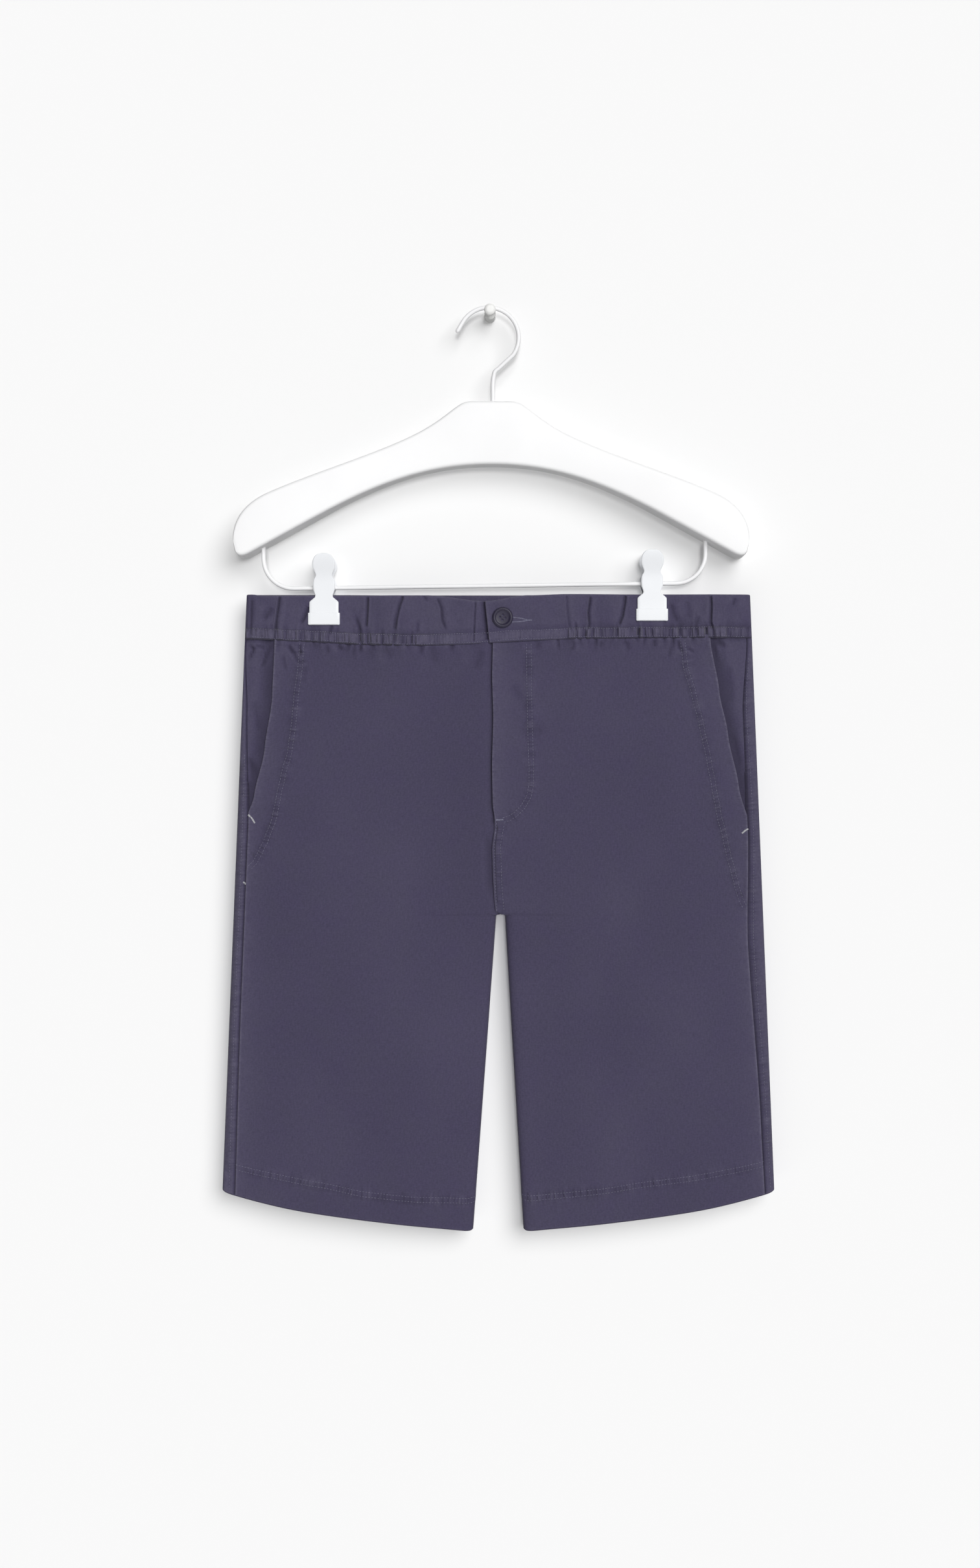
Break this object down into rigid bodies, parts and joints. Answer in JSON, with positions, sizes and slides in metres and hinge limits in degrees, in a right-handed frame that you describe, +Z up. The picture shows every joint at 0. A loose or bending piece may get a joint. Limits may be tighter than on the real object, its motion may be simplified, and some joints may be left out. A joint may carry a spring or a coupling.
{
  "type": "bermuda shorts on a clip hanger",
  "caption": "Bermuda shorts with a buttoned elastic waistband and slant pockets, held flat by a clip hanger that hangs on a wall peg.",
  "frame": {"origin": "centre of the wall peg's flat back face, where it meets the wall", "axes": "+Z up, +Y into the wall, +X to the right of someone who faces the front of the shorts"},
  "size_m": [0.48, 0.033, 0.8051],
  "materials": {
    "twill": "matte navy-grey washed cotton twill",
    "button_plastic": "satin dark navy plastic",
    "thread": "matte cotton thread, a little lighter than the cloth",
    "white_paint": "satin white paint on wood",
    "white_metal": "satin white coated steel",
    "peg_paint": "satin off-white"
  },
  "bodies": {
    "root": {"front_right": "twill", "front_left": "twill", "back_right": "twill", "back_left": "twill", "pocket_right": "twill", "pocket_left": "twill", "hem_right": "twill", "hem_left": "twill", "waistband_right": "twill", "waistband_left": "twill", "waistband_back": "twill", "fly_underlap": "twill", "button": "button_plastic", "button_thread": "thread", "hanger_body": "white_paint", "hanger_hook": "white_metal", "hanger_bar": "white_metal", "clip_right_front": "white_metal", "clip_right_back": "white_metal", "clip_right_barrel": "white_metal", "clip_left_front": "white_metal", "clip_left_back": "white_metal", "clip_left_barrel": "white_metal", "wall_peg": "peg_paint"}
  },
  "joints": []
}
